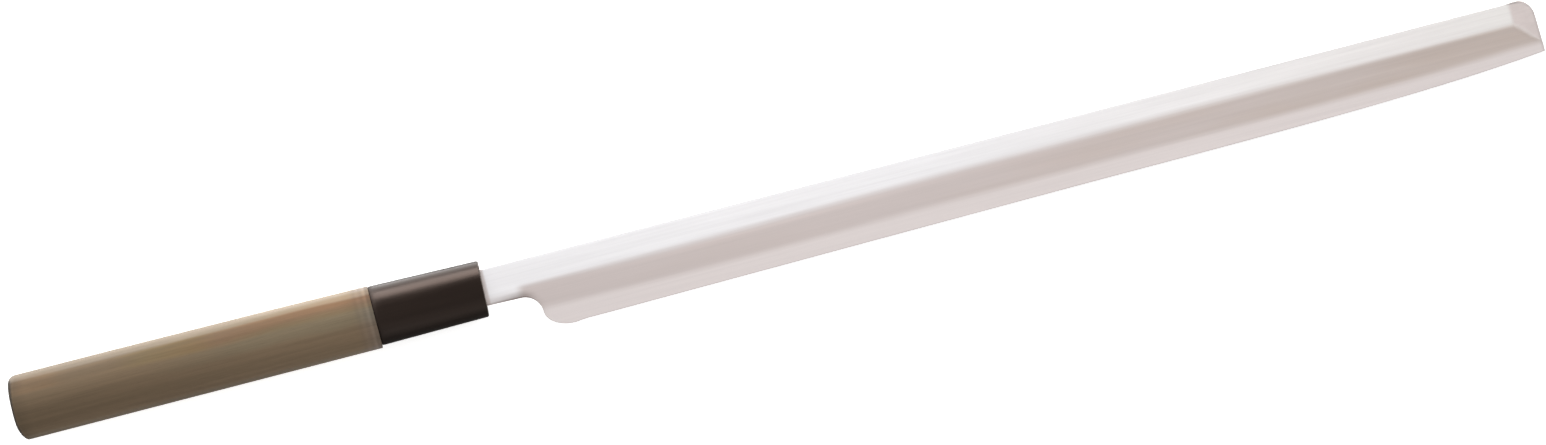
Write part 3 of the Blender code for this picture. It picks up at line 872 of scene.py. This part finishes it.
def wood_finish():
    f = Finish("ho_wood_oiled")
    f.set(Specular_IOR_Level=0.08)
    along, height = f.axis("X"), f.axis("Y")
    # layers of growth, cut along, with slow waves; then fibres and pores
    layers = f.noise((7.0, 330.0, 210.0), 2.5, 0.55, 0.35)
    fibres = f.noise((45.0, 2600.0, 2600.0), 3.0, 0.6)
    clouds = f.noise((24.0, 110.0, 110.0), 2.0, 0.5, 0.0, (3.0, 1.0, 0.0))
    pores = f.noise((260.0, 6000.0, 6000.0), 1.0, 0.5)
    colour = f.mix(f.spread(layers, 0.30, 0.70, soft=True), srgb(88, 75, 59), srgb(97, 82, 65))
    wavy = f.math("ADD", height, f.spread(clouds, 0.3, 0.7, -0.0009, 0.0009))
    front = f.spread(f.math("ADD", along, f.spread(clouds, 0.3, 0.7, -0.008, 0.008)), -0.112, -0.078)
    # red heartwood streak under the back towards the collar, greener below it, golden behind it
    red = f.math("MULTIPLY", f.window(wavy, 0.0040, 0.0055, 0.0080, 0.0090), front)
    colour = f.mix(red, colour, (1.08, 0.97, 0.96), "MULTIPLY")
    green = f.math("MULTIPLY", f.window(wavy, -0.0030, 0.0000, 0.0028, 0.0042), front)
    colour = f.mix(green, colour, (0.92, 1.01, 1.04), "MULTIPLY")
    gold = f.math(
        "MULTIPLY",
        f.window(wavy, 0.0030, 0.0050, 0.0090, 0.0100),
        f.window(along, -0.128, -0.112, -0.098, -0.088),
    )
    colour = f.mix(gold, colour, (0.98, 1.00, 0.86), "MULTIPLY")
    # a darker zone under the painted highlight along the back of the grip
    lower = f.math("SUBTRACT", wavy, f.spread(along, -0.112, -0.080, 0.0011, -0.0002, soft=True))
    under = f.window(lower, 0.0030, 0.0062, 0.0074, 0.0090)
    colour = f.mix(under, colour, (0.81, 0.80, 0.79), "MULTIPLY")
    # the pale strip along the back above this line is a painted highlight
    border = f.math("SUBTRACT", height, f.spread(along, -0.155, -0.050, 0.00872, 0.00812))
    border = f.math("ADD", border, f.spread(along, -0.060, -0.040, 0.0, 0.0006, soft=True))
    border = f.math("ADD", border, f.spread(layers, 0.2, 0.8, -0.0002, 0.0002))
    colour = f.mix(f.spread(border, -0.0005, 0.0005, soft=True), colour, srgb(101, 91, 79))
    # darker and warmer under the back towards the collar, redder there at the butt, and a painted reflection along
    # the belly, lighter and greyer
    warm = f.math("MULTIPLY", f.window(height, 0.0024, 0.0040, 0.0088, 0.0097), f.spread(along, -0.115, -0.070))
    colour = f.mix(warm, colour, (0.89, 0.87, 0.80), "MULTIPLY")
    blush = f.math(
        "MULTIPLY",
        f.window(height, 0.0035, 0.0050, 0.0090, 0.0100),
        f.window(along, -0.162, -0.156, -0.148, -0.140),
    )
    colour = f.mix(blush, colour, (1.07, 1.0, 0.94), "MULTIPLY")
    belly = f.spread(height, -0.0104, -0.0092, 1.0, 0.0)
    colour = f.mix(belly, colour, (1.08, 1.20, 1.38), "MULTIPLY")
    ruddy = f.math("MULTIPLY", f.window(height, 0.0058, 0.0068, 0.0086, 0.0096), f.spread(along, -0.085, -0.050))
    colour = f.mix(ruddy, colour, (1.07, 0.985, 0.93), "MULTIPLY")
    colour = f.mix(f.spread(along, -0.0440, -0.0410), colour, (0.98, 1.0, 1.10), "MULTIPLY")
    handled = f.math("MULTIPLY", f.spread(along, -0.0410, -0.0385), f.spread(height, 0.0005, 0.0040, 1.0, 0.0))
    colour = f.mix(handled, colour, (0.99, 1.03, 1.12), "MULTIPLY")
    # paler towards the collar; the lower half painted lighter, as painted fill light, and darker just above the
    # belly
    shade = f.spread(along, -0.158, -0.045, 0.86, 1.16)
    shade = f.math("MULTIPLY", shade, f.spread(height, -0.0050, -0.0026, 1.21, 1.0))
    shade = f.math("MULTIPLY", shade, f.spread(height, -0.0099, -0.0084, 0.90, 1.0))
    # lighter and darker streaks along the grain; the one along the lower edge at the butt carries the painted
    # reflection along the belly further back
    for low, high, back, end, lift in (
        (0.0050, 0.0066, -0.160, -0.095, 0.07),
        (0.0080, 0.0092, -0.150, -0.100, 0.08),
        (0.0086, 0.0096, -0.160, -0.104, -0.10),
        (0.0098, 0.0108, -0.076, -0.042, 0.10),
        (-0.0020, 0.0002, -0.140, -0.084, -0.07),
        (-0.0106, -0.0088, -0.168, -0.116, 0.13),
        (0.0062, 0.0078, -0.070, -0.043, 0.06),
        (0.0042, 0.0058, -0.100, -0.076, 0.10),
        (-0.0088, -0.0080, -0.124, -0.086, -0.10),
        (-0.0036, 0.0022, -0.078, -0.045, 0.05),
    ):
        across = f.window(height, low - 0.0005, low + 0.0004, high - 0.0004, high + 0.0005)
        lengthwise = f.window(along, back - 0.010, back + 0.006, end - 0.008, end + 0.008)
        streak = f.math("MULTIPLY", f.math("MULTIPLY", across, lengthwise), lift)
        shade = f.math("ADD", shade, streak)
    near = f.math("MULTIPLY", f.spread(along, -0.0470, -0.0420), f.spread(height, 0.0005, 0.0030))
    shade = f.math("MULTIPLY", shade, f.math("SUBTRACT", 1.0, f.math("MULTIPLY", near, 0.08)))
    # light and dark rings just behind the collar; the two darkest, at the joint, are painted shade on the grip's
    # rounded front edge
    for centre, half, lift in (
        (-0.0423, 0.0012, -0.05),
        (-0.0411, 0.0010, 0.06),
        (-0.0399, 0.0008, -0.05),
        (-0.0388, 0.0008, 0.15),
        (-0.0378, 0.0008, -0.22),
        (-0.0369, 0.0008, -0.30),
    ):
        ring = f.window(along, centre - half, centre, centre, centre + half)
        shade = f.math("ADD", shade, f.math("MULTIPLY", ring, lift))
    shade = f.math("MULTIPLY", shade, f.spread(fibres, 0.25, 0.75, 0.93, 1.06))
    shade = f.math("MULTIPLY", shade, f.spread(pores, 0.28, 0.42, 0.90, 1.0))
    # dark end grain, partly the end grain's own tone and partly painted shade where the end faces away from the
    # light, and a painted highlight on the upper corner of the butt
    end = f.math("MULTIPLY", f.attribute("end"), f.spread(height, 0.0090, 0.0101, 1.0, 0.0))
    colour = f.mix(end, colour, (0.36, 0.39, 0.45), "MULTIPLY")
    painted_corner_highlight = f.math("MULTIPLY", f.spread(along, -0.1590, -0.1570, 1.0, 0.0), f.spread(height, 0.0090, 0.0101))
    colour = f.mix(painted_corner_highlight, colour, (1.10, 1.13, 1.22), "MULTIPLY")
    f.link(f.scale(colour, shade), f.shader.inputs["Base Color"])
    f.link(f.spread(fibres, 0.2, 0.8, 0.56, 0.70), f.shader.inputs["Roughness"])
    grain = f.math("ADD", f.math("MULTIPLY", fibres, 0.6), f.math("MULTIPLY", pores, 0.4))
    f.link(f.bump(grain, 0.18, 0.00006), f.shader.inputs["Normal"])
    return f.material


def horn_finish():
    f = Finish("black_horn_polished")
    f.set(Specular_IOR_Level=0.29, Specular_Tint=(1.0, 0.763, 0.664, 1.0))
    flow = f.noise((22.0, 240.0, 240.0), 4.0, 0.55, 0.8)
    specks = f.noise((300.0, 1600.0, 1600.0), 2.0, 0.6)
    colour = f.mix(
        f.spread(flow, 0.45, 0.75, soft=True), (0.0026, 0.0013, 0.0008), (0.0052, 0.0030, 0.0019)
    )
    # rubbed dull against the grip, and its front edge painted lighter as a painted highlight on the rounded nose,
    # and rougher
    dull = f.spread(f.axis("X"), -0.0372, -0.0350, 0.26, 0.0, soft=True)
    dull = f.math("ADD", dull, f.spread(f.axis("X"), -0.0369, -0.0332, 0.08, 0.0))
    front = f.math("SUBTRACT", f.axis("X"), f.math("MULTIPLY", f.axis("Y"), FERRULE_FRONT_LEAN[1]))
    front = f.spread(front, -0.00030, 0.00005, soft=True)
    f.link(f.mix(front, colour, (0.10, 0.082, 0.072)), f.shader.inputs["Base Color"])
    dull = f.math("ADD", dull, f.math("MULTIPLY", front, 0.25))
    f.link(f.math("ADD", f.spread(flow, 0.3, 0.7, 0.28, 0.36), dull), f.shader.inputs["Roughness"])
    f.link(f.bump(specks, 0.06, 0.00002), f.shader.inputs["Normal"])
    return f.material


def filler_finish():
    f = Finish("dark_filler_cured")
    f.set(Specular_IOR_Level=0.4)
    grain = f.noise((900.0, 900.0, 900.0), 3.0, 0.6)
    f.link(
        f.mix(f.spread(grain, 0.3, 0.7), (0.018, 0.015, 0.013), (0.045, 0.037, 0.031)),
        f.shader.inputs["Base Color"],
    )
    f.link(f.spread(grain, 0.3, 0.7, 0.38, 0.56), f.shader.inputs["Roughness"])
    f.link(f.bump(grain, 0.2, 0.0001), f.shader.inputs["Normal"])
    return f.material


def resin_finish():
    f = Finish("bedding_resin_cured")
    cloud = f.noise((120.0, 400.0, 400.0), 3.0, 0.5)
    f.link(
        f.mix(f.spread(cloud, 0.3, 0.7), (0.42, 0.30, 0.15), (0.60, 0.48, 0.28)),
        f.shader.inputs["Base Color"],
    )
    f.link(f.spread(cloud, 0.3, 0.7, 0.30, 0.45), f.shader.inputs["Roughness"])
    return f.material


def wear(obj, material):
    obj.data.materials.clear()
    obj.data.materials.append(material)


blade = make_blade()
wear(blade, steel_finish())
grip = make_grip()
wear(grip, wood_finish())
ferrule = make_ferrule()
wear(ferrule, horn_finish())
seal = make_seal()
wear(seal, filler_finish())
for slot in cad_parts["tang_bedding"].material_slots:
    slot.material = resin_finish()

for piece, node, slot in (
    (blade, "blade", "blade_steel"),
    (grip, "handle_body", "grip_wood"),
    (ferrule, "ferrule", "ferrule_horn"),
    (seal, "mouth_seal", "mouth_filler"),
):
    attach(piece, "root")
    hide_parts(node)

# ---------------------------------------------------------------------------
# floor, light, camera
# ---------------------------------------------------------------------------


def make_floor():
    size, steps = 3.0, 24
    points, faces = [], []
    for i in range(steps + 1):
        for k in range(steps + 1):
            points.append((size * (2.0 * i / steps - 1.0), size * (2.0 * k / steps - 1.0), 0.0))
    for i in range(steps):
        for k in range(steps):
            a = i * (steps + 1) + k
            faces.append((a, a + steps + 1, a + steps + 2, a + 1))
    mesh = bpy.data.meshes.new("floor")
    mesh.from_pydata(points, [], faces)
    obj = bpy.data.objects.new("floor", mesh)
    bpy.context.scene.collection.objects.link(obj)
    obj.location.z = -0.0002
    f = Finish("pale_floor")
    f.set(Base_Color=(0.90, 0.90, 0.90, 1.0), Roughness=0.9, Specular_IOR_Level=0.1)
    f.set(Emission_Color=(1.0, 1.0, 1.0, 1.0), Emission_Strength=0.55)
    # polished pieces mirror a dark table
    rays = f.tree.nodes.new("ShaderNodeLightPath")
    dark = f.tree.nodes.new("ShaderNodeBsdfDiffuse")
    dark.inputs["Color"].default_value = (0.22, 0.21, 0.20, 1.0)
    either = f.tree.nodes.new("ShaderNodeMixShader")
    f.link(rays.outputs["Is Glossy Ray"], either.inputs[0])
    f.link(f.shader.outputs[0], either.inputs[1])
    f.link(dark.outputs[0], either.inputs[2])
    f.link(either.outputs[0], f.output.inputs["Surface"])
    mesh.materials.append(f.material)
    return obj


make_floor()

PICTURE = (1546, 445)
KNIFE_TURN = math.radians(14.52)  # the knife's slope in the picture


def panel(name, place, aim, size, radiance):
    """A soft box at place, facing aim, its long side along the knife."""
    light = bpy.data.lights.new(name, "AREA")
    light.shape = "RECTANGLE"
    light.size, light.size_y = size
    light.energy = radiance * math.pi * size[0] * size[1]
    obj = bpy.data.objects.new(name, light)
    bpy.context.scene.collection.objects.link(obj)
    back = (Vector(place) - Vector(aim)).normalized()
    side = Vector((1.0, 0.0, 0.0))
    side = (side - back * side.dot(back)).normalized()
    turn = Matrix((side, back.cross(side), back)).transposed()
    obj.location = place
    obj.rotation_euler = turn.to_euler()
    obj.visible_camera = False
    return obj


# a low wall of light on the spine side with a card on the table in front of it, two dim ones opposite, one overhead
panel("key_side", (0.0, 0.95, 0.375), (0.0, 0.0, 0.375), (1.7, 0.69), 10.2)
panel("table_card", (0.0, 0.065, 0.0004), (0.0, 0.065, 1.0), (1.4, 0.09), 3.5)
panel("fill_low", (0.0, -0.95, 0.57), (0.0, 0.0, 0.57), (1.7, 0.45), 0.60)
panel("fill_high", (0.0, -0.80, 1.10), (0.0, 0.0, 0.0), (1.5, 0.50), 0.37)
panel("overhead", (-0.25, 0.0, 1.6), (0.0, 0.0, 0.0), (1.5, 1.0), 0.14)

world = bpy.data.worlds.new("studio")
world.use_nodes = True
world.node_tree.nodes["Background"].inputs["Color"].default_value = (1.0, 0.985, 0.97, 1.0)
world.node_tree.nodes["Background"].inputs["Strength"].default_value = 0.68
bpy.context.scene.world = world

MM_PER_PIXEL = 360.0 / 1088.7
FAR = 4.5
camera_data = bpy.data.cameras.new("camera")
camera_data.sensor_width = 36.0
camera_data.lens = 36.0 * (FAR - 0.006) / (PICTURE[0] * MM_PER_PIXEL * MM)
camera_data.clip_end = 20.0
camera = bpy.data.objects.new("camera", camera_data)
bpy.context.scene.collection.objects.link(camera)
centre = KNIFE @ Matrix.Translation((98.16 * MM, -3.04 * MM, 0.0))
camera.location = (centre.translation.x, centre.translation.y, FAR)
camera.rotation_euler = (0.0, 0.0, -KNIFE_TURN)
bpy.context.scene.camera = camera

bpy.context.scene.view_settings.view_transform = "Standard"
bpy.context.scene.view_settings.look = "None"
